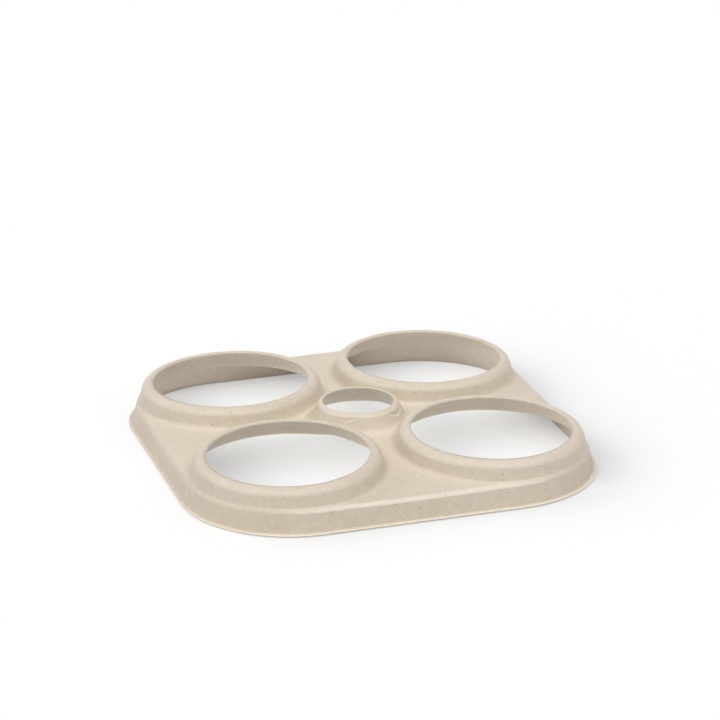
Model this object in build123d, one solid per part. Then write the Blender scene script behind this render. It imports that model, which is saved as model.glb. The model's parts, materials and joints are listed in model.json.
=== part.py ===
from build123d import *
import os
from math import atan2, cos, degrees, radians, sqrt, tan

# A carrier for four cups, moulded in one piece from paper pulp. It is a thin shell, open below, with a
# raised collar round each cup hole and round the finger hole in the middle. Lengths are in millimetres
# and angles in degrees. The origin is the middle of the tray, on the table, with Z up.

# Cup holes and their collars
cup_hole_diameter = 73.2          # the lip that a cup's tapered wall wedges in
collar_crest_width = 4.7          # from the lip out to the line of the collar's wall, at the crest
collar_rise = 8.9                 # crest above the deck
collar_draft = 15.0               # lean of the collar's wall
collar_crest_inner_round = 2.0    # bend from crest to wall, on the inside
collar_foot_round = 2.2           # bend from wall to deck, on the outside
collar_gap = 8.6                  # deck left between neighbouring collars

# Finger hole and its collar
finger_hole_diameter = 33.2
finger_crest_width = 1.4
finger_rise = 10.4
finger_crest_inner_round = 0.8
finger_foot_round = 2.2
finger_valley = 1.3               # deck left between this collar and a cup's collar

# Deck, skirt and flange
deck_height = 11.0
deck_edge_inner_round = 1.0       # bend from deck to skirt, on the inside
side_ledge = 1.3                  # deck left outside a collar, at the middle of a side
corner_ledge = 0.5                # the same, at a corner
skirt_draft = 13.0
flange_width = 1.6                # how far the flange stands out from the skirt
flange_thickness = 1.0
flange_foot_round = 0.5
wall = 1.0                        # thickness of the pulp

# How far the foot of the finger collar dips under the deck, so that the two surfaces cross
foot_dip_share = 0.02

# Places and sizes that follow from those above
collar_crest_radius = cup_hole_diameter / 2 + collar_crest_width
collar_foot_radius = collar_crest_radius + collar_rise * tan(radians(collar_draft))
cup_pitch = 2 * collar_foot_radius + collar_gap
finger_crest_radius = finger_hole_diameter / 2 + finger_crest_width
finger_foot_radius = cup_pitch / sqrt(2) - collar_foot_radius - finger_valley
finger_draft = degrees(atan2(finger_foot_radius - finger_crest_radius, finger_rise))
side_reach = collar_foot_radius + side_ledge
deck_half_width = cup_pitch / 2 + side_reach
deck_corner_radius = (sqrt(2) * side_reach - collar_foot_radius - corner_ledge) / (sqrt(2) - 1)
skirt_spread = deck_height * tan(radians(skirt_draft))
crest_height = deck_height + max(collar_rise, finger_rise)


def slope_setback(inset, draft):
    # How far the top edge of a leaning wall moves in when its wall and its top both move in by the inset
    return inset * (1 / cos(radians(draft)) - tan(radians(draft)))


def tray_plan(grow):
    # The rounded square of the deck's edge, grown evenly outwards
    width = 2 * (deck_half_width + grow)
    return RectangleRounded(width, width, deck_corner_radius + grow)


def deck_edge_round(inset):
    return deck_edge_inner_round + wall - inset


def deck_form(inset):
    # The leaning skirt and the deck, with the bend between them
    top = deck_height - inset
    grow = top * tan(radians(skirt_draft)) - slope_setback(inset, skirt_draft)
    block = extrude(tray_plan(grow), top, taper=skirt_draft)
    return fillet(block.edges().group_by(Axis.Z)[-1], deck_edge_round(inset))


def crest_corner(profile, radius, height):
    return profile.vertices().sort_by_distance(Vector(radius, 0, height))[0]


def collar_form(inset):
    # A cup's collar, solid, from just under the deck up to its rounded crest
    top = deck_height + collar_rise - inset
    low = deck_height - inset - deck_edge_round(inset)
    crest = collar_crest_radius - slope_setback(inset, collar_draft)
    foot = crest + (top - low) * tan(radians(collar_draft))
    profile = Plane.XZ * make_face(Polyline((0, low), (foot, low), (crest, top), (0, top), close=True))
    profile = fillet(crest_corner(profile, crest, top), collar_crest_inner_round + wall - inset)
    return revolve(profile, Axis.Z)


def finger_collar_form(inset):
    # The middle collar, solid, with a flared foot that runs out into the deck
    top = deck_height + finger_rise - inset
    low = deck_height - inset - deck_edge_round(inset)
    dip = deck_height - inset - foot_dip_share * finger_foot_round
    bend = finger_foot_round + inset
    crest = finger_crest_radius - slope_setback(inset, finger_draft)
    foot = crest + (top - dip) * tan(radians(finger_draft))
    flare = foot + (1 + foot_dip_share) * slope_setback(bend, finger_draft)
    outline = [(0, low), (flare, low), (flare, dip), (foot, dip), (crest, top), (0, top)]
    profile = Plane.XZ * make_face(Polyline(*outline, close=True))
    profile = fillet(crest_corner(profile, crest, top), finger_crest_inner_round + wall - inset)
    profile = fillet(crest_corner(profile, foot, dip), bend)
    return revolve(profile, Axis.Z)


def cup_places():
    return GridLocations(cup_pitch, cup_pitch, 2, 2)


def tray_form(inset):
    # The tray's outside as one block, or the same block moved in by the inset on every face
    deck = deck_form(inset)
    collars = [place * collar_form(inset) for place in cup_places()]
    block = deck
    for collar in collars:
        block += collar
    feet = new_edges(deck, *collars, combined=block)
    block = fillet(feet, collar_foot_round + inset)
    return block + finger_collar_form(inset)


def with_flange(block):
    # The narrow flange round the foot of the skirt, which the tray stands on
    flange = extrude(tray_plan(skirt_spread + flange_width), flange_thickness)
    joined = block + flange
    foot = new_edges(block, flange, combined=joined).group_by(Axis.Z)[-1]
    return fillet(foot, flange_foot_round)


def hole_cutter(diameter):
    return Cylinder(diameter / 2, 2 * (crest_height + wall))


def cup_carrier():
    tray = with_flange(tray_form(0)) - tray_form(wall)
    for place in cup_places():
        tray -= place * hole_cutter(cup_hole_diameter)
    return tray - hole_cutter(finger_hole_diameter)


os.makedirs("parts", exist_ok=True)
carrier = cup_carrier()
export_step(carrier, "parts/cup_carrier.step")
print("pitch", round(cup_pitch, 2), "volume", round(carrier.volume), "solids", len(carrier.solids()))
print("size", carrier.bounding_box().size)
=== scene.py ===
import json
import math
import bmesh
import bpy
import numpy as np
from mathutils import Matrix, Vector


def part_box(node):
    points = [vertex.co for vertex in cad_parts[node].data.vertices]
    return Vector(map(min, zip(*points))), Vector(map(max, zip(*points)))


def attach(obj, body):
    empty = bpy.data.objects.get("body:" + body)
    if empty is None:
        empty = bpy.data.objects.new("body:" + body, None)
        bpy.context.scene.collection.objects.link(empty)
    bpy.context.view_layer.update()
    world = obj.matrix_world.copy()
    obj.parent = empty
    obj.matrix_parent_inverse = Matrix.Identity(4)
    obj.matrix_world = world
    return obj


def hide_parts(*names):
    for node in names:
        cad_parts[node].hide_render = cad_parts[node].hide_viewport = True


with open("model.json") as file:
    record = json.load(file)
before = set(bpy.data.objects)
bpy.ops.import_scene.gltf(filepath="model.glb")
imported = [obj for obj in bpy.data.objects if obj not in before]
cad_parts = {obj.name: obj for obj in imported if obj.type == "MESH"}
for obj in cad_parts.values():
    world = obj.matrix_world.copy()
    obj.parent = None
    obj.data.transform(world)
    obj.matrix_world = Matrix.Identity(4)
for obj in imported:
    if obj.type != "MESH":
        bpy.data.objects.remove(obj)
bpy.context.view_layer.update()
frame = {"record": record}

mm = 0.001


# Node trees

class Flow:  # a socket of a node tree, so that sums on it are written as sums
    def __init__(self, tree, socket=None):
        self.tree = tree
        self.socket = socket

    def node(self, kind, settings=None, sockets=None, out=0):
        made = self.tree.nodes.new(kind)
        for name, value in (settings or {}).items():
            setattr(made, name, value)
        for name, value in (sockets or {}).items():
            self.plug(value, made.inputs[name])
        return Flow(self.tree, made.outputs[out])

    def plug(self, value, inlet):
        if isinstance(value, Flow):
            self.tree.links.new(value.socket, inlet)
        else:
            inlet.default_value = value

    def sum(self, operation, *values):
        return self.node("ShaderNodeMath", {"operation": operation}, dict(enumerate(values)))

    def __add__(self, other):
        return self.sum("ADD", self, other)

    def __radd__(self, other):
        return self.sum("ADD", other, self)

    def __sub__(self, other):
        return self.sum("SUBTRACT", self, other)

    def __rsub__(self, other):
        return self.sum("SUBTRACT", other, self)

    def __mul__(self, other):
        return self.sum("MULTIPLY", self, other)

    def __rmul__(self, other):
        return self.sum("MULTIPLY", other, self)

    def __truediv__(self, other):
        return self.sum("DIVIDE", self, other)

    def __rtruediv__(self, other):
        return self.sum("DIVIDE", other, self)

    def __abs__(self):
        return self.sum("ABSOLUTE", self)

    def sine(self):
        return self.sum("SINE", self)

    def power(self, exponent):
        return self.sum("POWER", self, exponent)

    def least(self, other):
        return self.sum("MINIMUM", self, other)

    def most(self, other):
        return self.sum("MAXIMUM", self, other)

    def step(self, low, high):  # 0 below low, 1 above high, smooth between
        return self.node("ShaderNodeMapRange", {"interpolation_type": "SMOOTHSTEP"},
                         {"Value": self, "From Min": low, "From Max": high})

    def part(self, axis):
        return self.node("ShaderNodeSeparateXYZ", None, {0: self}, axis)

    def stretch(self, scale, turn=(0, 0, 0)):
        return self.node("ShaderNodeMapping", None, {"Vector": self, "Scale": scale, "Rotation": turn})

    def noise(self, scale, detail=2.0, roughness=0.5):
        return self.node("ShaderNodeTexNoise", None,
                         {"Vector": self, "Scale": scale, "Detail": detail, "Roughness": roughness})

    def colour(self, value):
        made = self.node("ShaderNodeRGB")
        made.socket.default_value = value
        return made

    def shade(self, colour, amount):  # a colour mixed over this one
        return self.node("ShaderNodeMix", {"data_type": "RGBA"}, {0: amount, 6: self, 7: colour}, 2)


# The tray's form, in millimetres

mounts = {m["name"]: m for m in frame["record"]["mounts"]}
cupMount = mounts["cup_hole_back_right"]
fingerMount = mounts["finger_hole"]
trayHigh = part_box("cup_carrier")[1]

trayForm = {
    "cup": cupMount["pos_m"][0] / mm,          # each cup's distance from the middle, along X and Y
    "lip": cupMount["dims"]["r_mm"],
    "crestWidth": 4.7,                         # from the lip to the line of the collar's wall
    "collarRise": 8.9,
    "collarLean": 15.0,
    "crestRound": 3.0,
    "footRound": 2.3,                          # on the deck
    "ledgeRound": 0.8,                         # on the narrow ledge at the deck's edge
    "ledgeReach": 3.0,                         # how far in the ledge's bend goes
    "footReach": 13.0,                         # and where the deck's bend begins
    "fingerLip": fingerMount["dims"]["r_mm"],
    "fingerCrestWidth": 1.4,
    "fingerFoot": 22.87,                       # line of the finger collar's wall at the deck
    "fingerRise": 9.6,
    "fingerRound": 1.8,
    "fingerFootRound": 3.2,
    "deck": 10.5,                              # at the middle of a side
    "crown": 1.35,                             # how much higher the deck is in the middle
    "cornerRise": 1.5,                         # the ledge outside the collars climbs to the corners
    "cornerAt": 110.0,                         # how far out on the diagonal it has climbed that much
    "deckRound": 1.5,                          # at the front and back
    "sideRound": 2.8,                          # at the other two sides
    "deckCorner": 47.26,
    "skirtLean": 13.0,
    "outline": trayHigh[0] / mm,               # half-width over the flange
    "flangeWidth": 1.6,
    "flange": 1.0,
    "flangeRound": 0.35,
    "nose": 0.6,                               # the flange's rounded edge
    "lift": 0.75,                              # of its lowest line off the table
    "noseTurn": 60.0,                          # degrees it has turned where the sheet ends
    "wall": 1.0,
}


def leanSlope(name):
    return math.tan(math.radians(trayForm[name]))


deckEdge = trayForm["outline"] - trayForm["flangeWidth"] - trayForm["deck"] * leanSlope("skirtLean")
deckTop = trayForm["deck"] + trayForm["crown"]
ball = (deckEdge ** 2 + trayForm["crown"] ** 2) / (2 * trayForm["crown"])   # the deck is part of this ball
fingerTop = deckTop + trayForm["fingerRise"]
lipCup = trayForm["cup"] * (1 + trayForm["collarRise"] / ball)              # collars lean out with the deck


def roundMeet(a, b, r):  # both forms, with a rounded outer edge
    return np.minimum(-r, np.maximum(a, b)) + np.hypot(np.maximum(a + r, 0), np.maximum(b + r, 0))


def roundJoin(a, b, r):  # either form, with a rounded inner corner
    return np.maximum(r, np.minimum(a, b)) - np.hypot(np.maximum(r - a, 0), np.maximum(r - b, 0))


def squareGap(x, y, half, corner):  # distance outside a square with round corners
    ax = np.abs(x) - half + corner
    ay = np.abs(y) - half + corner
    return np.hypot(np.maximum(ax, 0), np.maximum(ay, 0)) + np.minimum(np.maximum(ax, ay), 0) - corner


def edgeGap(x, y):  # distance outside the flange's edge
    return squareGap(x, y, trayForm["outline"], trayForm["outline"] - deckEdge + trayForm["deckCorner"])


def deckGap(x, y, z):
    out = x ** 2 + y ** 2
    climb = trayForm["cornerRise"] * (2 * x * y / trayForm["cornerAt"]) ** 2 / np.maximum(out, 1)
    return np.sqrt(out + (z - deckTop + ball) ** 2) - ball - climb


def skirtGap(x, y, z):
    slope = leanSlope("skirtLean")
    out = squareGap(x, y, deckEdge, trayForm["deckCorner"])
    return (out + slope * (z - trayForm["deck"])) / math.hypot(1, slope)


def collarGap(x, y, z):  # square to the crowned deck
    cup = trayForm["cup"]
    axis = (cup / ball, cup / ball, math.sqrt(1 - 2 * (cup / ball) ** 2))
    spot = (np.abs(x), np.abs(y), z - deckTop + ball)
    along = sum(s * a for s, a in zip(spot, axis))
    away = np.sqrt(np.maximum(sum(s * s for s in spot) - along ** 2, 0))
    high = along - ball - trayForm["collarRise"]
    slope = leanSlope("collarLean")
    wall = (away - trayForm["lip"] - trayForm["crestWidth"] + slope * high) / math.hypot(1, slope)
    return roundMeet(wall, high, trayForm["crestRound"])


def fingerGap(x, y, z):
    crest = trayForm["fingerLip"] + trayForm["fingerCrestWidth"]
    slope = (trayForm["fingerFoot"] - crest) / trayForm["fingerRise"]
    wall = (np.hypot(x, y) - crest + slope * (z - fingerTop)) / math.hypot(1, slope)
    return roundMeet(wall, z - fingerTop, trayForm["fingerRound"])


def mouldGap(x, y, z):  # distance above the tray's outer surface
    atSide = x ** 4 / np.maximum(x ** 4 + y ** 4, 1)
    edge = trayForm["deckRound"] + (trayForm["sideRound"] - trayForm["deckRound"]) * atSide
    body = roundMeet(skirtGap(x, y, z), deckGap(x, y, z), edge)
    inward = -squareGap(x, y, deckEdge, trayForm["deckCorner"])
    reaches = (trayForm["ledgeReach"], trayForm["footReach"])
    foot = np.interp(inward, reaches, (trayForm["ledgeRound"], trayForm["footRound"]))
    body = roundJoin(body, collarGap(x, y, z), foot)
    body = roundJoin(body, fingerGap(x, y, z), trayForm["fingerFootRound"])
    past = trayForm["nose"] * (1 - math.sin(math.radians(trayForm["noseTurn"])))
    flange = roundMeet(z - trayForm["flange"], edgeGap(x, y) - past, trayForm["nose"])
    return roundJoin(body, flange, trayForm["flangeRound"])


def mouldBend(points):  # mean curvature of the mould, above 0 where it stands out
    step = trayForm["wall"] / 4
    total = -6 * mouldGap(*points.T)
    for shift in np.concatenate([np.eye(3), -np.eye(3)]) * step:
        total = total + mouldGap(*(points + shift).T)
    return total / (2 * step ** 2)


sheetLayout = {
    "valley": 23.5,        # radius where the finger collar's patch meets the cups' patches
    "valleySteps": 44,     # rays that end on a quarter of the valley
    "innerSteps": 54,      # rays that end on the line between two cups
    "outlineSteps": 108,   # rays that end on the flange
    "cupRows": 40,
    "fingerRows": 16,
    "samples": 900,        # along each ray
    "seamSamples": 5400,
    "halvings": 32,
    "reachTurns": 60,
    "bendWeight": 7.0,     # how much closer the points lie where the sheet bends
}


def pressedHeight(x, y):  # where the sheet lies on the mould, found by halving
    low = np.zeros_like(x)
    high = np.full_like(x, fingerTop + 2 * trayForm["wall"])
    for turn in range(sheetLayout["halvings"]):
        middle = (low + high) / 2
        above = mouldGap(x, y, middle) > 0
        high = np.where(above, middle, high)
        low = np.where(above, low, middle)
    return (low + high) / 2


def outlineReach(angles):  # from a cup's middle to the flange's edge
    reach = np.zeros_like(angles)
    for turn in range(sheetLayout["reachTurns"]):
        reach = reach - edgeGap(lipCup + reach * np.cos(angles), lipCup + reach * np.sin(angles))
    return reach


def bendPace(run, height):  # length along a line on the sheet, counted for more where it bends
    length = np.hypot(np.diff(run), np.diff(height))
    tilt = np.arctan2(np.diff(height), np.diff(run))
    bend = np.abs(np.diff(tilt, axis=-1, prepend=tilt[..., :1]))
    start = np.zeros(run.shape[:-1] + (1,))
    pace = np.concatenate([start, np.cumsum(length + sheetLayout["bendWeight"] * bend, axis=-1)], axis=-1)
    return pace, np.concatenate([start, np.cumsum(length, axis=-1)], axis=-1)


def seamEnds():  # where rays end on the line between two cups, from the flange in to the valley
    y = np.linspace(trayForm["outline"], sheetLayout["valley"], sheetLayout["seamSamples"])
    pace = bendPace(-y, pressedHeight(np.zeros_like(y), y))[0]
    return np.interp(np.linspace(0, pace[-1], sheetLayout["innerSteps"] + 1), pace, y)


def cupRays():
    valley = sheetLayout["valley"]
    ends = seamEnds()
    inner = np.mod(np.arctan2(ends - lipCup, -lipCup), 2 * math.pi)
    toOutline = inner[0]
    innerReach = np.hypot(ends - lipCup, lipCup)
    turns = np.linspace(math.pi / 2, 0, sheetLayout["valleySteps"] + 1)
    vx, vy = valley * np.cos(turns) - lipCup, valley * np.sin(turns) - lipCup
    valleyAngles = np.arctan2(vy, vx) + 2 * math.pi
    valleyReach = np.hypot(vx, vy)
    lower = 2.5 * math.pi - inner[::-1]          # the mirror of the inner rays, about the diagonal
    outer = np.linspace(lower[-1], toOutline + 2 * math.pi, sheetLayout["outlineSteps"] + 1)
    angles = np.concatenate([inner[:-1], valleyAngles[:-1], lower[:-1], outer[:-1]])
    lowerReach = innerReach[::-1]
    reach = np.concatenate([innerReach[:-1], valleyReach[:-1], lowerReach[:-1], outlineReach(outer[:-1])])
    return angles, reach


def pressedRows(middle, angles, start, reach, rows):
    share = np.linspace(0, 1, sheetLayout["samples"])
    radius = start + (reach[:, None] - start) * share[None, :]
    x = middle + radius * np.cos(angles)[:, None]
    y = middle + radius * np.sin(angles)[:, None]
    pace, run = bendPace(radius, pressedHeight(x, y))
    points, runs = [], []
    for i, angle in enumerate(angles):
        steps = np.linspace(0, pace[i, -1], rows + 1)
        r = np.interp(steps, pace[i], radius[i])
        points.append(np.stack([middle + r * math.cos(angle), middle + r * math.sin(angle)], axis=1))
        runs.append(np.interp(steps, pace[i], run[i]))
    flat = np.array(points)
    height = pressedHeight(flat[..., 0], flat[..., 1])
    return np.concatenate([flat, height[..., None]], axis=2), np.array(runs)


def gridFaces(rays, rows, closed, first):
    faces = []
    for i in range(rays if closed else rays - 1):
        j = (i + 1) % rays
        for k in range(rows):
            a, b = first + i * (rows + 1) + k, first + j * (rows + 1) + k
            faces.append((a, a + 1, b + 1, b))
    return faces


def meshPoints(mesh):  # in millimetres
    flat = np.empty(3 * len(mesh.vertices), dtype=np.float32)
    mesh.vertices.foreach_get("co", flat)
    return flat.reshape(-1, 3).astype(float) / mm


def placePoints(mesh, points):
    mesh.vertices.foreach_set("co", (points * mm).ravel().astype(np.float32))


def pointValues(mesh, name, values):
    mesh.attributes.new(name, "FLOAT", "POINT").data.foreach_set("value", values)


def meshCorners(mesh):  # the point at each corner of each face
    corners = np.empty(len(mesh.loops), dtype=np.int32)
    mesh.loops.foreach_get("vertex_index", corners)
    return corners


def quarterSheet():
    cupRows, fingerRows = sheetLayout["cupRows"], sheetLayout["fingerRows"]
    angles, reach = cupRays()
    cupPoints, cupRuns = pressedRows(lipCup, angles, trayForm["lip"], reach, cupRows)
    turns = np.linspace(0, math.pi / 2, sheetLayout["valleySteps"] + 1)
    fingerReach = np.full_like(turns, sheetLayout["valley"])
    fingerPoints, fingerRuns = pressedRows(0.0, turns, trayForm["fingerLip"], fingerReach, fingerRows)
    cupFaces = gridFaces(len(angles), cupRows, True, 0)
    fingerFaces = gridFaces(len(turns), fingerRows, False, cupRuns.size)
    points = np.concatenate([cupPoints.reshape(-1, 3), fingerPoints.reshape(-1, 3)])
    along = np.concatenate([cupRuns.ravel(), fingerRuns.ravel()])
    mesh = bpy.data.meshes.new("quarterSheet")
    mesh.from_pydata((points * mm).tolist(), [], cupFaces + fingerFaces)
    corners = meshCorners(mesh)
    places = np.zeros((len(corners), 2), dtype=np.float32)        # unrollTray gives the other half
    places[:, 1] = along[corners] * mm
    mesh.uv_layers.new(name="unrolled").data.foreach_set("uv", places.ravel())
    return mesh


pressing = {
    "swell": 0.22,        # millimetres that the sheet wanders from its mould, slowly
    "swellSize": 30.0,
    "ripple": 0.05,       # and quickly
    "rippleSize": 5.0,
    "weld": 0.01,
    "stillBelow": 1.2,    # the flange stays flat
    "freeAbove": 5.0,
}


def pressTree():
    tree = bpy.data.node_groups.new("fourQuarters", "GeometryNodeTree")
    face = tree.interface
    face.new_socket("Quarter", in_out="INPUT", socket_type="NodeSocketGeometry")
    for name in ("Swell", "Swell Size", "Ripple", "Ripple Size", "Weld", "Still Below", "Free Above"):
        face.new_socket(name, in_out="INPUT", socket_type="NodeSocketFloat")
    face.new_socket("Material", in_out="INPUT", socket_type="NodeSocketMaterial")
    face.new_socket("Tray", in_out="OUTPUT", socket_type="NodeSocketGeometry")
    entry = tree.nodes.new("NodeGroupInput")
    inlet = {s.name: Flow(tree, s) for s in entry.outputs}
    flow = Flow(tree)

    def mirrored(sheet, scale):
        copy = flow.node("GeometryNodeTransform", None, {"Geometry": sheet, "Scale": scale})
        return flow.node("GeometryNodeFlipFaces", None, {"Mesh": copy})

    def together(first, second):
        join = tree.nodes.new("GeometryNodeJoinGeometry")
        tree.links.new(first.socket, join.inputs[0])
        tree.links.new(second.socket, join.inputs[0])
        return Flow(tree, join.outputs[0])

    half = together(inlet["Quarter"], mirrored(inlet["Quarter"], (-1, 1, 1)))
    whole = together(half, mirrored(half, (1, -1, 1)))
    whole = flow.node("GeometryNodeMergeByDistance", None, {"Geometry": whole, "Distance": inlet["Weld"]})
    place = flow.node("GeometryNodeInputPosition")
    normal = flow.node("GeometryNodeInputNormal")
    free = place.part(2).step(inlet["Still Below"], inlet["Free Above"])
    slow = (place.noise(1.0 / inlet["Swell Size"], 1.0) - 0.5) * 2.0 * inlet["Swell"]
    quick = (place.noise(1.0 / inlet["Ripple Size"], 2.0) - 0.5) * 2.0 * inlet["Ripple"]
    stray = (slow + quick) * free
    offset = flow.node("ShaderNodeVectorMath", {"operation": "SCALE"}, {0: normal, "Scale": stray})
    whole = flow.node("GeometryNodeSetPosition", None, {"Geometry": whole, "Offset": offset})
    whole = flow.node("GeometryNodeSetShadeSmooth", None, {"Geometry": whole})
    whole = flow.node("GeometryNodeRealizeInstances", None, {"Geometry": whole})
    whole = flow.node("GeometryNodeSetMaterial", None, {"Geometry": whole, "Material": inlet["Material"]})
    leave = tree.nodes.new("NodeGroupOutput")
    tree.links.new(whole.socket, leave.inputs[0])
    return tree


def fillInputs(modifier, values):
    for item in modifier.node_group.interface.items_tree:
        if item.in_out == "INPUT" and item.name in values:
            modifier[item.identifier] = values[item.name]


def unrollTray(mesh):  # maps the sheet round each hole, and away from its lip
    corners = meshCorners(mesh)
    counts = np.empty(len(mesh.polygons), dtype=np.int32)
    mesh.polygons.foreach_get("loop_total", counts)
    face = np.repeat(np.arange(len(counts)), counts)
    spots = meshPoints(mesh)[corners][:, :2]
    starts = np.concatenate([[0], np.cumsum(counts)[:-1]])
    centre = np.add.reduceat(spots, starts, axis=0) / counts[:, None]
    inFinger = np.hypot(*centre.T) < sheetLayout["valley"]
    hub = np.where(inFinger[:, None], 0.0, np.sign(centre) * lipCup)
    radius = np.where(inFinger, trayForm["fingerFoot"], trayForm["lip"] + trayForm["crestWidth"])
    faceTurn = np.arctan2(*(centre - hub).T[::-1])
    turn = np.arctan2(*(spots - hub[face]).T[::-1]) - faceTurn[face]
    turn = np.mod(turn + math.pi, 2 * math.pi) - math.pi + faceTurn[face]     # no face spans the seam
    layer = mesh.uv_layers["unrolled"]
    places = np.empty(2 * len(corners), dtype=np.float32)
    layer.data.foreach_get("uv", places)
    places[0::2] = turn * radius[face] * mm
    layer.data.foreach_set("uv", places)


creases = {
    "lines": {             # degrees round the middle, and height in millimetres, on the finger collar
        "fold": [(-19, 20.0), (-28, 18.9), (-36, 17.9), (-46, 17.7), (-54, 18.8), (-63, 19.7)],
        "ripple": [(-128, 18.1), (-120, 18.8), (-114, 19.4), (-107, 19.8)],
    },
    "depth": {"fold": 0.40, "ripple": 0.20},
    "ridge": {"fold": 0.18, "ripple": 0.14},
    "width": 0.55,
    "reach": 2.2,          # how far round a crease the sheet is divided more finely
    "cuts": 3,
    "samples": 60,
    "wallSamples": 300,
    "fade": 0.25,          # share of a crease's length over which each end fades
    "ridgeAt": 2.0,        # widths below a crease where its ridge stands
}


def creaseLine(knots):  # points on the finger collar along a crease
    share = np.linspace(0, 1, creases["samples"])
    knotShare = np.linspace(0, 1, len(knots))
    turn = np.radians(np.interp(share, knotShare, [k[0] for k in knots]))
    height = np.interp(share, knotShare, [k[1] for k in knots])
    radii = np.linspace(trayForm["fingerLip"], sheetLayout["valley"], creases["wallSamples"])
    rise = pressedHeight(radii[None, :] * np.cos(turn)[:, None], radii[None, :] * np.sin(turn)[:, None])
    radius = np.array([np.interp(h, row[::-1], radii[::-1]) for h, row in zip(height, rise)])
    return np.stack([radius * np.cos(turn), radius * np.sin(turn), height], axis=1)


def creaseTray(mesh):
    lines = {name: creaseLine(knots) for name, knots in creases["lines"].items()}
    build = bmesh.new()
    build.from_mesh(mesh)
    under = build.verts.layers.float["underside"]

    def gapTo(spots, line):
        gaps = np.linalg.norm(spots[:, None, :] - line[None, :, :], axis=2)
        return gaps.min(axis=1), gaps.argmin(axis=1)

    def onCollar(spot):
        return math.hypot(spot.x, spot.y) < sheetLayout["valley"] * mm

    outer = [f for f in build.faces if onCollar(f.calc_center_median()) and f.verts[0][under] < 0.5]
    centres = np.array([f.calc_center_median() for f in outer]) / mm
    near = np.min([gapTo(centres, line)[0] for line in lines.values()], axis=0) < creases["reach"]
    edges = {e for f, close in zip(outer, near) if close for e in f.edges}
    bmesh.ops.subdivide_edges(build, edges=list(edges), cuts=creases["cuts"], use_grid_fill=True)
    build.normal_update()
    verts = [v for v in build.verts if onCollar(v.co) and v[under] < 0.5]
    spots = np.array([v.co for v in verts]) / mm
    push = np.zeros(len(verts))
    for name, line in lines.items():
        gap, at = gapTo(spots, line)
        share = at / (creases["samples"] - 1)
        fade = np.clip(np.minimum(share, 1 - share) / creases["fade"], 0, 1)
        lower = np.clip((line[at, 2] - spots[:, 2]) / creases["width"], 0, 1)
        widths = gap / creases["width"]
        push -= fade * creases["depth"][name] * np.exp(-widths ** 2)
        push += fade * creases["ridge"][name] * lower * np.exp(-((widths - creases["ridgeAt"]) ** 2))
    moves = [(v, v.co + v.normal * float(d * mm)) for v, d in zip(verts, push)]
    for vert, place in moves:
        vert.co = place
    build.to_mesh(mesh)
    build.free()


def roundNose(mesh):  # the flange's edge is thinned from below, and stands just off the table
    points = meshPoints(mesh)
    half = len(points) // 2
    outer = points[:half]
    inward = -edgeGap(outer[:, 0], outer[:, 1])
    nose = inward < 2 * trayForm["nose"]
    below = outer[nose]
    below[:, 2] = trayForm["lift"] * (1 - inward[nose] / (2 * trayForm["nose"])) ** 2
    points[half:][nose] = below
    placePoints(mesh, points)


def settleTray(mesh):  # nothing below the table, and how level and how bent the sheet is at each point
    points = meshPoints(mesh)
    points[:, 2] = np.maximum(points[:, 2], 0)
    placePoints(mesh, points)
    mesh.update()
    normals = np.empty(3 * len(mesh.vertices), dtype=np.float32)
    mesh.vertex_normals.foreach_get("vector", normals)
    pointValues(mesh, "level", np.abs(normals[2::3]))
    pointValues(mesh, "bend", np.clip(mouldBend(points), -1, 1).astype(np.float32))


def pressTray(material):
    sheet = bpy.data.objects.new("quarterSheet", quarterSheet())
    bpy.context.collection.objects.link(sheet)
    press = sheet.modifiers.new("press", "NODES")
    press.node_group = pressTree()
    fillInputs(press, {
        "Swell": pressing["swell"] * mm, "Swell Size": pressing["swellSize"] * mm,
        "Ripple": pressing["ripple"] * mm, "Ripple Size": pressing["rippleSize"] * mm,
        "Weld": pressing["weld"] * mm, "Material": material,
        "Still Below": pressing["stillBelow"] * mm, "Free Above": pressing["freeAbove"] * mm,
    })
    thick = sheet.modifiers.new("thickness", "SOLIDIFY")
    thick.thickness = trayForm["wall"] * mm
    thick.offset = -1.0
    thick.use_even_offset = True
    bpy.context.view_layer.update()
    depsgraph = bpy.context.evaluated_depsgraph_get()
    ready = sheet.evaluated_get(depsgraph)
    mesh = bpy.data.meshes.new_from_object(ready, preserve_all_data_layers=True, depsgraph=depsgraph)
    mesh.name = "pressedTray"
    bpy.data.objects.remove(sheet)
    side = np.zeros(len(mesh.vertices), dtype=np.float32)
    side[len(side) // 2:] = 1.0                    # the inner wall's points follow the outer wall's
    pointValues(mesh, "underside", side)
    roundNose(mesh)
    unrollTray(mesh)
    creaseTray(mesh)
    settleTray(mesh)
    tray = bpy.data.objects.new("pressedTray", mesh)
    bpy.context.collection.objects.link(tray)
    return tray


# Pulp

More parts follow.
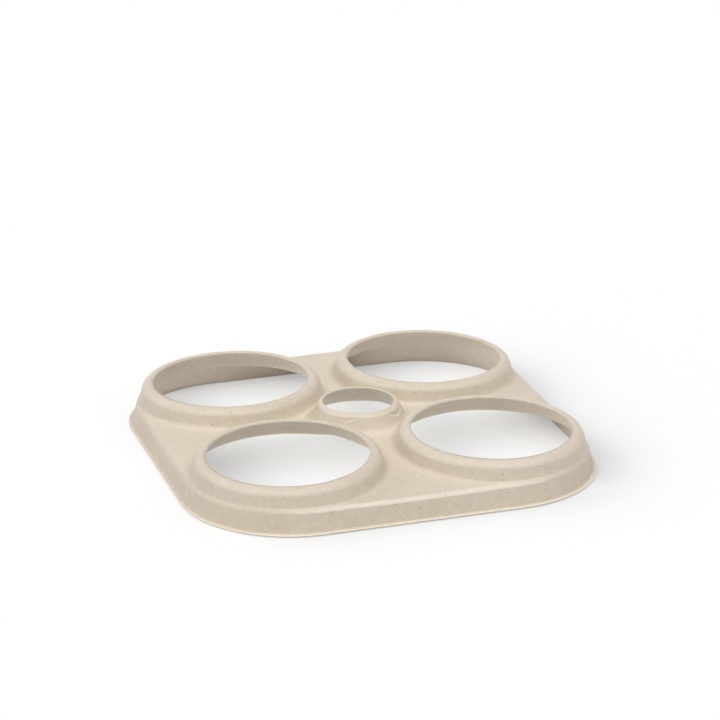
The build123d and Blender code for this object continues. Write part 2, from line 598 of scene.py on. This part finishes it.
pulp = {
    "colour": (0.735, 0.648, 0.530, 1),
    "pale": (0.82, 0.74, 0.62, 1),
    "ridge": (0.90, 0.82, 0.69, 1),      # painted highlight on the bends that stand out
    # painted light: the underside is painted paler, for light bounced into the holes and shining through
    # the thin sheet
    "inside": (0.80, 0.735, 0.635, 1),
    "straw": (0.58, 0.48, 0.35, 1),
    "fleck": (0.19, 0.14, 0.09, 1),
    "roughness": 0.45,
    "roughnessSpread": 0.12,
    "cloud": (28, 3, 0.5),   # fineness, detail and roughness of each noise
    "mottle": (260, 4, 0.6),
    "grain": (1300, 3, 0.65),
    "patches": (48, 2, 0.5),
    "fibres": (420, 3600, 3600),
    "screenPitch": 1.545,    # millimetres between the wires of the forming screen
    "streakWidth": 0.6,      # the wall's faint streaks, drawn along the mould
    "streakLength": 5.0,
    "fleckEvery": 4.4,
    "fleckSize": 0.5,
    "smallFleckSize": 0.22,
    "rubbedFrom": -92.0,     # along X: the painted highlight is weakest at the left edge
    "rubbedTo": -70.0,
    "rubbedLeast": 0.2,
    "rubbedMore": 0.55,
    "marks": {               # where each mark, and the painted crease shade, begins, where it is full, and how strongly it shows
        "cloud": (0.0, 0.35, 0.16),
        "mottle": (0.42, 0.72, 0.5),
        "grain": (0.46, 0.70, 0.46),
        "streaks": (0.46, 0.80, 0.24),
        "hollow": (0.06, 0.30, 0.08),
        "screen": (0.0, 1.0, 0.36),
    },
    "fibreMark": 0.14,
    "fleckMark": 0.55,
    "relief": 0.10,          # millimetres
    "reliefStrength": 0.4,
    "stand": {"fibres": 0.35, "grain": 0.6, "mottle": 0.5, "streaks": 0.35, "screen": 0.5},
}


def pulpFinish():
    material = bpy.data.materials.new("pressedPulp")
    material.use_nodes = True
    tree = material.node_tree
    shader = tree.nodes["Principled BSDF"]
    flow = Flow(tree)
    place = flow.node("ShaderNodeTexCoord", None, None, "Object")
    sheet = flow.node("ShaderNodeUVMap", {"uv_map": "unrolled"})
    below = flow.node("ShaderNodeAttribute", {"attribute_name": "underside"}, None, "Fac")
    level = flow.node("ShaderNodeAttribute", {"attribute_name": "level"}, None, "Fac")
    bend = flow.node("ShaderNodeAttribute", {"attribute_name": "bend"}, None, "Fac")
    lying = level.step(0.72, 0.93)
    around, along = sheet.part(0), sheet.part(1)

    cloud = place.noise(*pulp["cloud"])
    mottle = place.noise(*pulp["mottle"])
    grain = place.noise(*pulp["grain"])

    def strands(turn, seed):                         # long thin noise, as fibres lying one way
        lie = place.stretch(pulp["fibres"], (0.3 * seed, 0.2 * seed, turn))
        ridge = 1 - abs(lie.noise(1.0, 1) - 0.5) * 2
        return ridge.step(0.90, 1.0)

    fibres = strands(0.35, 1).most(strands(1.45, 2)).most(strands(2.5, 3))
    drawn = flow.node("ShaderNodeCombineXYZ", None, {
        0: around / (pulp["streakWidth"] * mm),
        1: along / (pulp["streakLength"] * mm),
        2: place.part(0) * 90 + place.part(1) * 50})
    streaks = (drawn.noise(1.0, 2, 0.6) - 0.5) * (1 - lying)

    def specks(cell, size, turn):                    # round spots, thinly strewn
        cells = place.stretch((1 / (cell * mm),) * 3, turn)
        away = cells.node("ShaderNodeTexVoronoi", None, {"Vector": cells, "Scale": 1.0}, "Distance")
        pick = cells.node("ShaderNodeTexVoronoi", None, {"Vector": cells, "Scale": 1.0}, "Color").part(0)
        return (1 - (away * cell).step(0.35 * size, size)) * pick.step(0.35, 0.7)

    flecks = specks(pulp["fleckEvery"], pulp["fleckSize"], (0.4, 0.2, 0.7))
    flecks = flecks.most(specks(0.5 * pulp["fleckEvery"], pulp["smallFleckSize"], (1.1, 0.5, 0.3)))

    wires = 2 * math.pi / (pulp["screenPitch"] * mm)
    wallScreen = ((around + along) * wires).sine()
    crossScreen = ((around - along) * wires).sine()
    flatScreen = (place.part(0) * wires).sine().most((place.part(1) * wires).sine())
    patchy = place.noise(*pulp["patches"]).step(0.40, 0.62)
    screen = ((wallScreen * 0.7 + crossScreen * 0.3) * (1 - lying) + flatScreen * lying) * below * patchy

    def strengthOf(name, value):
        low, high, strength = pulp["marks"][name]
        return value.step(low, high) * strength

    # painted light: the underside is painted paler
    colour = flow.colour(pulp["colour"]).shade(pulp["inside"], below)
    colour = colour.shade(pulp["straw"], strengthOf("cloud", 0.62 - cloud))
    colour = colour.shade(pulp["pale"], strengthOf("mottle", mottle))
    colour = colour.shade(pulp["straw"], strengthOf("grain", 1 - grain))
    colour = colour.shade(pulp["straw"], strengthOf("streaks", 0.5 - streaks))
    colour = colour.shade(pulp["straw"], fibres * pulp["fibreMark"])
    # painted highlight: the bends that stand out are painted paler, less towards the left edge
    paintedHighlight = place.part(0).step(pulp["rubbedFrom"] * mm, pulp["rubbedTo"] * mm)
    paintedHighlight = paintedHighlight * pulp["rubbedMore"] + pulp["rubbedLeast"]
    colour = colour.shade(pulp["ridge"], bend.step(0.10, 0.34) * (1 - below) * paintedHighlight)
    # painted shade: the hollow bends are painted darker
    colour = colour.shade(pulp["straw"], strengthOf("hollow", 0 - bend))
    colour = colour.shade(pulp["straw"], strengthOf("screen", 0.15 - screen) * below)
    colour = colour.shade(pulp["fleck"], flecks * pulp["fleckMark"])
    flow.plug(colour, shader.inputs["Base Color"])
    flow.plug(pulp["roughness"] + (mottle - 0.5) * pulp["roughnessSpread"], shader.inputs["Roughness"])
    stand = pulp["stand"]
    height = fibres * stand["fibres"] + grain * stand["grain"] + mottle * stand["mottle"]
    height = height + streaks * stand["streaks"] + screen * stand["screen"]
    bump = flow.node("ShaderNodeBump", None, {
        "Strength": pulp["reliefStrength"], "Distance": pulp["relief"] * mm, "Height": height})
    flow.plug(bump, shader.inputs["Normal"])
    shader.inputs["IOR"].default_value = 1.5
    shader.inputs["Specular IOR Level"].default_value = 0.5
    return material


pulpMaterial = pulpFinish()
tray = pressTray(pulpMaterial)
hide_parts("cup_carrier")
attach(tray, "root")
print("tray pressed:", len(tray.data.vertices), "points,", len(tray.data.polygons), "faces")


# Floor and light

studio = {
    "floorSize": 8.0,
    "floorColour": (0.55, 0.547, 0.541, 1),
    "fill": 0.065,                            # painted light: the floor glows brighter to the camera inside the tray's outline, for the light that gathers under it
    "bounce": (0.045, 0.044, 0.042, 1),       # what the tray's own lamps would send up from the floor
    "bounceUnder": (0.52, 0.507, 0.485, 1),   # and through the holes
    "bounceShade": (0.02, 0.019, 0.018, 1),   # and from under the deck
    "holeEdge": (0.8, 1.25),                  # shares of a hole's radius
    "fingerShare": 0.85,                      # the finger hole lets less through
    "trayEdge": (0.85, 0.98),                 # shares of the tray's half-width
    "lamps": {                                # azimuth, elevation, spread, strength, and what they light
        "keyLight": (28, 60, 36, 0.61, "tray"),
        "leftHigh": (-62, 58, 36, 0.33, "tray"),
        "leftLow": (-107, 25, 40, 0.21, "tray"),
        "backLow": (-152, 25, 40, 0.06, "tray"),
        "floorTop": (0, 89, 150, 0.80, "floor"),
        "floorFront": (-62, 25, 50, 0.60, "floor"),
        "floorLeft": (-107, 25, 50, 0.38, "floor"),
        "floorBack": (-152, 25, 50, 0.20, "floor"),
    },
}


def shownOnly(flow):  # 1 for rays from the camera, a mirror or glass
    path = flow.node("ShaderNodeLightPath").socket.node
    names = ("Is Camera Ray", "Is Glossy Ray", "Is Transmission Ray")
    rays = [Flow(flow.tree, path.outputs[name]) for name in names]
    return rays[0].most(rays[1]).most(rays[2])


def floorGlow(flow):  # what the floor sends to the camera beside its lamps' light, and up to the tray
    place = flow.node("ShaderNodeTexCoord", None, None, "Object")
    x, y = abs(place.part(0)), abs(place.part(1))
    cup = trayForm["cup"] * mm
    away = ((x - cup).power(2) + (y - cup).power(2)).power(0.5)
    middle = (x.power(2) + y.power(2)).power(0.5)
    fingerRim = studio["fingerShare"] * trayForm["fingerLip"] * mm
    under = (away / (trayForm["lip"] * mm)).least(middle / fingerRim)
    inside = 1 - (x.most(y) / (trayForm["outline"] * mm)).step(*studio["trayEdge"])
    sent = flow.colour(studio["bounce"]).shade(studio["bounceShade"], inside)
    sent = sent.shade(studio["bounceUnder"], 1 - under.step(*studio["holeEdge"]))
    floorLamps = [lamp for lamp in studio["lamps"].values() if lamp[4] == "floor"]
    level = sum(power * math.sin(math.radians(el)) for az, el, spread, power, lit in floorLamps)
    missing = [1 - level * c for c in studio["floorColour"][:3]]         # what the lamps leave to white
    # painted light: inside the tray's outline the floor glows brighter to the camera
    filled = [c + studio["fill"] for c in missing]
    seen = flow.colour((*missing, 1)).shade((*filled, 1), inside)
    return sent.shade(seen, shownOnly(flow))


def studioFloor():
    half = studio["floorSize"] / 2
    mesh = bpy.data.meshes.new("studioFloor")
    corners = [(-half, -half, 0), (half, -half, 0), (half, half, 0), (-half, half, 0)]
    mesh.from_pydata(corners, [], [(0, 1, 2, 3)])
    floor = bpy.data.objects.new("studioFloor", mesh)
    bpy.context.collection.objects.link(floor)
    material = bpy.data.materials.new("paleFloor")
    material.use_nodes = True
    shader = material.node_tree.nodes["Principled BSDF"]
    flow = Flow(material.node_tree)
    shader.inputs["Base Color"].default_value = studio["floorColour"]
    shader.inputs["Roughness"].default_value = 1.0
    shader.inputs["Specular IOR Level"].default_value = 0.0
    shader.inputs["Emission Strength"].default_value = 1.0
    flow.plug(floorGlow(flow), shader.inputs["Emission Color"])
    mesh.materials.append(material)
    return floor


def viewSide(az, el):  # towards a lamp or the camera, from its azimuth and elevation in degrees
    side, high = math.radians(az), math.radians(el)
    return Vector((math.sin(side) * math.cos(high), -math.cos(side) * math.cos(high), math.sin(high)))


def studioLight(lit):
    world = bpy.data.worlds.new("studioSky")
    bpy.context.scene.world = world
    world.use_nodes = True
    sky = world.node_tree.nodes["Background"]
    flow = Flow(world.node_tree)
    sky.inputs["Color"].default_value = (1, 1, 1, 1)
    flow.plug(shownOnly(flow), sky.inputs["Strength"])
    for name, (az, el, spread, power, what) in studio["lamps"].items():
        lamp = bpy.data.lights.new(name, "SUN")
        lamp.angle = math.radians(spread)
        lamp.energy = power * math.pi
        sun = bpy.data.objects.new(name, lamp)
        sun.rotation_euler = viewSide(az, el).to_track_quat("Z", "Y").to_euler()
        bpy.context.collection.objects.link(sun)
        shone = bpy.data.collections.new(name)
        shone.objects.link(lit[what])
        sun.light_linking.receiver_collection = shone


studioLight({"tray": tray, "floor": studioFloor()})
print("floor and light set")


# Camera

photoView = {
    "azimuth": -17.468,
    "elevation": 22.235,
    "distance": 1.4056,
    "turnRight": 0.038,
    "tiltUp": 1.566,
    "roll": -0.351,
    "focal": 3018.7,     # in pixels of the photograph
    "frame": 720,
    "sensor": 36.0,
}


def photoCamera():
    def turned(first, second, name):  # both axes, turned from the first towards the second
        angle = math.radians(photoView[name])
        return (math.cos(angle) * first + math.sin(angle) * second,
                math.cos(angle) * second - math.sin(angle) * first)

    back = viewSide(photoView["azimuth"], photoView["elevation"])
    ahead = -back
    right = ahead.cross(Vector((0, 0, 1))).normalized()
    up = right.cross(ahead)
    ahead, right = turned(ahead, right, "turnRight")
    ahead, up = turned(ahead, up, "tiltUp")
    right, up = turned(right, up, "roll")
    lens = bpy.data.cameras.new("photoView")
    lens.sensor_width = photoView["sensor"]
    lens.lens = photoView["focal"] * photoView["sensor"] / photoView["frame"]
    lens.clip_start = 0.01
    lens.clip_end = 50
    camera = bpy.data.objects.new("photoView", lens)
    turnTo = Matrix((right, up, -ahead)).transposed().to_4x4()
    camera.matrix_world = Matrix.Translation(back * photoView["distance"]) @ turnTo
    bpy.context.collection.objects.link(camera)
    bpy.context.scene.camera = camera


photoCamera()
bpy.context.scene.view_settings.view_transform = "Standard"
print("camera set")
